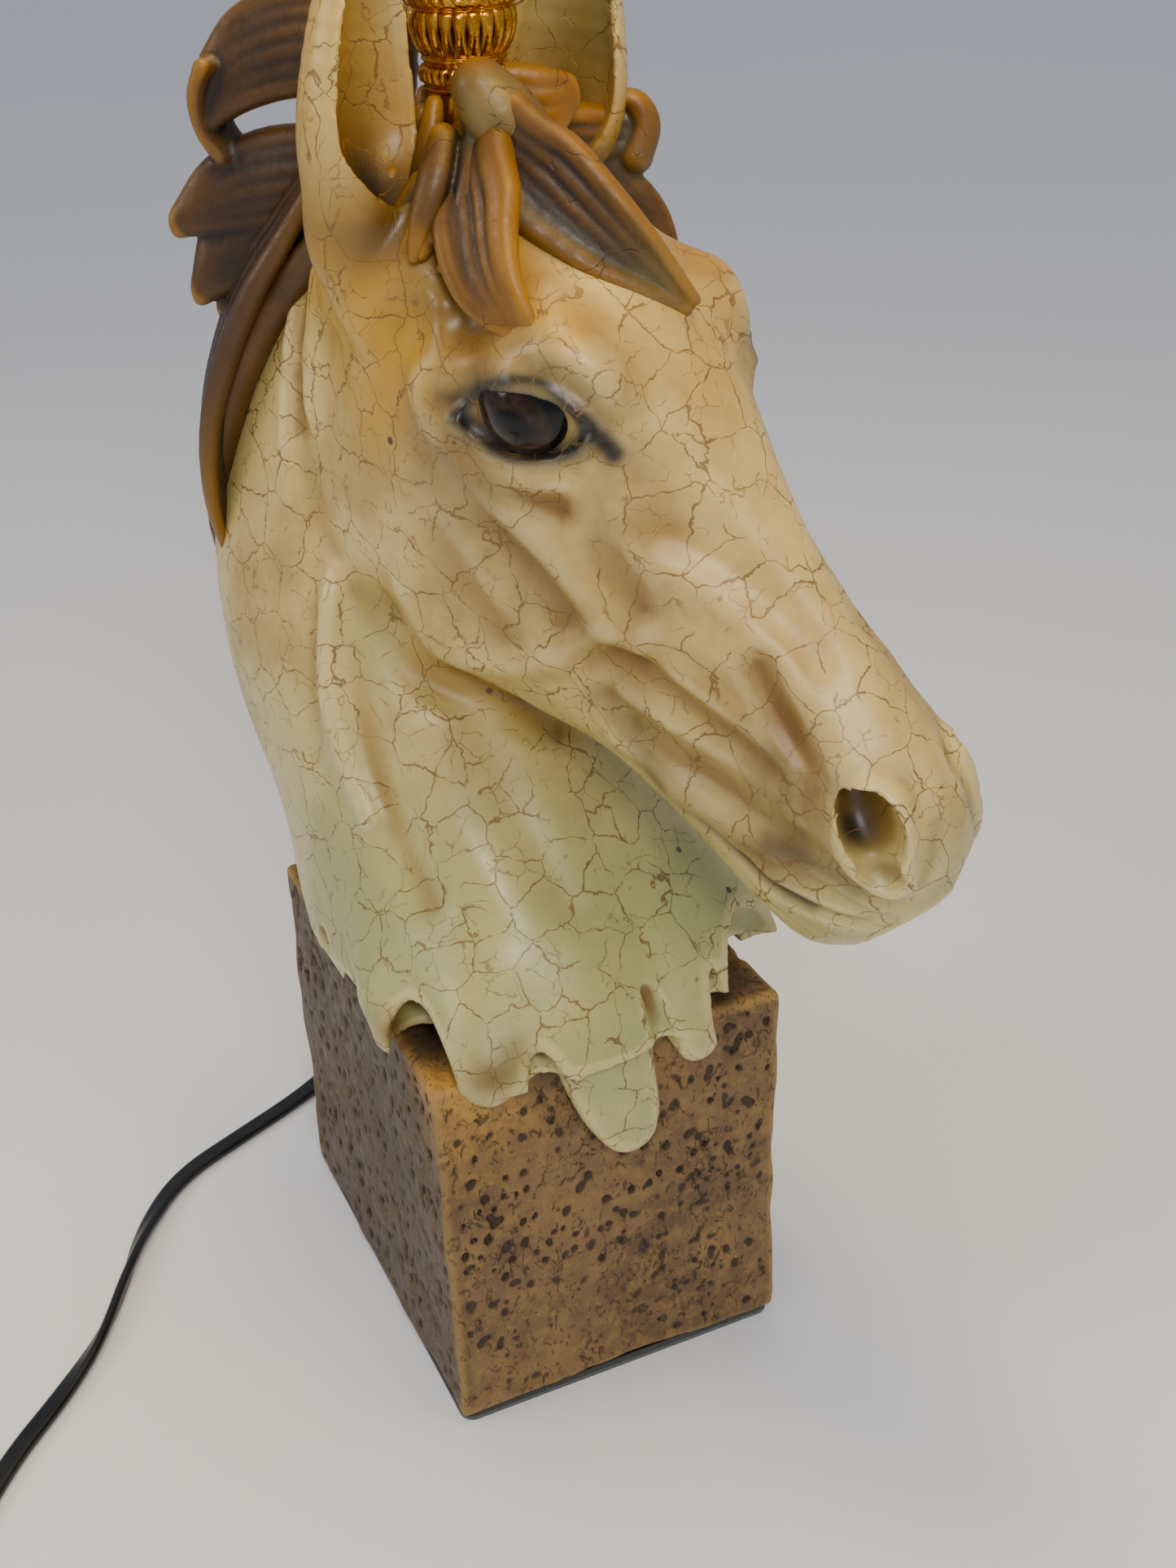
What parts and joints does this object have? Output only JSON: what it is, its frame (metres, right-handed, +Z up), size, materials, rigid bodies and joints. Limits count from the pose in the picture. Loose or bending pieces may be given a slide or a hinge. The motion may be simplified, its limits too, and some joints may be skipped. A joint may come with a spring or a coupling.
{
  "type": "table lamp",
  "caption": "Table lamp: horse-head bust in crackle paint on a rough block plinth, gilt column, screw lampholder with knob switch, bulb, and a flat flex with two-pin plug.",
  "frame": {"origin": "middle of the plinth's underside, on the surface that the lamp stands on", "axes": "+Z up along the lamp pipe; -Y is the outward normal of the plinth's narrow front face; +X to the right seen from that face"},
  "size_m": [0.3689, 0.2735, 0.521],
  "materials": {
    "felt": "short-pile dark green felt",
    "cover_plastic": "moulded black plastic",
    "zinc_screws": "zinc plated",
    "hewn_resin": "cast resin with a hewn-stone surface, bronze-brown paint with dark pits and rubbed gilt edges",
    "crackle_resin": "cast resin, cream paint with a fine brown crackle and brown airbrushed hollows, satin",
    "mane_resin": "cast resin, golden-brown paint shaded to dark brown, satin",
    "eye_gloss": "glossy black",
    "zinc_pipe": "zinc plated, threaded",
    "gilt": "antique gilt with dark hollows",
    "brass": "polished",
    "black_holder": "moulded black thermoset",
    "insert_ceramic": "unglazed white",
    "contact_brass": "pressed",
    "insert_plastic": "moulded",
    "knob_plastic": "moulded black, fluted",
    "bulb_nickel": "rolled thread",
    "bulb_black_glass": "fused black glass",
    "solder": "solder dome",
    "bulb_glass": "warm lit bulb, clear to pearl, emissive",
    "bulb_inner_glass": "pinch glass with lead wires and lit filament, emissive",
    "flex_rubber": "soft black",
    "flex_plastic": "black PVC, slightly glossy",
    "plug_plastic": "moulded black",
    "pin_nickel": "nickel plated"
  },
  "bodies": {
    "stand": {"base_felt": "felt", "base_cover": "cover_plastic", "base_screws": "zinc_screws", "plinth_casting": "hewn_resin", "horse_bust": "crackle_resin", "forelock_inner": "mane_resin", "forelock_long": "mane_resin", "forelock_roll": "mane_resin", "mane_flying": "mane_resin", "mane_crest": "mane_resin", "mane_rear": "mane_resin", "mane_curl": "mane_resin", "eye_left": "eye_gloss", "eye_right": "eye_gloss", "lamp_pipe": "zinc_pipe", "pipe_washer": "zinc_pipe", "pipe_nut": "zinc_pipe", "column": "gilt", "check_ring": "brass", "holder_cap": "black_holder", "holder_skirt": "black_holder", "shade_ring": "black_holder", "holder_insert": "insert_ceramic", "screw_shell": "contact_brass", "centre_contact": "contact_brass", "terminal_screws": "contact_brass", "switch_body": "insert_plastic", "cord_bush": "flex_rubber", "inner_flex": "flex_plastic", "power_cord": "flex_plastic", "cord_coil": "flex_plastic", "cord_tail": "flex_plastic", "plug_body": "plug_plastic", "plug_pins": "pin_nickel"},
    "bulb": {"bulb_cap": "bulb_nickel", "bulb_insulator": "bulb_black_glass", "bulb_tip": "solder", "bulb_glass": "bulb_glass", "bulb_mount": "bulb_inner_glass"},
    "knob": {"switch_shaft": "contact_brass", "switch_knob": "knob_plastic"}
  },
  "joints": [
    {"name": "bulb_unscrew", "type": "slide", "parent": "stand", "child": "bulb", "axis": [0, 0, 1], "range_m": [0, 0.03]},
    {"name": "switch_turn", "type": "hinge", "parent": "stand", "child": "knob", "pos_m": [0.029, 0, 0.406], "axis": [1, 0, 0], "continuous": true}
  ]
}
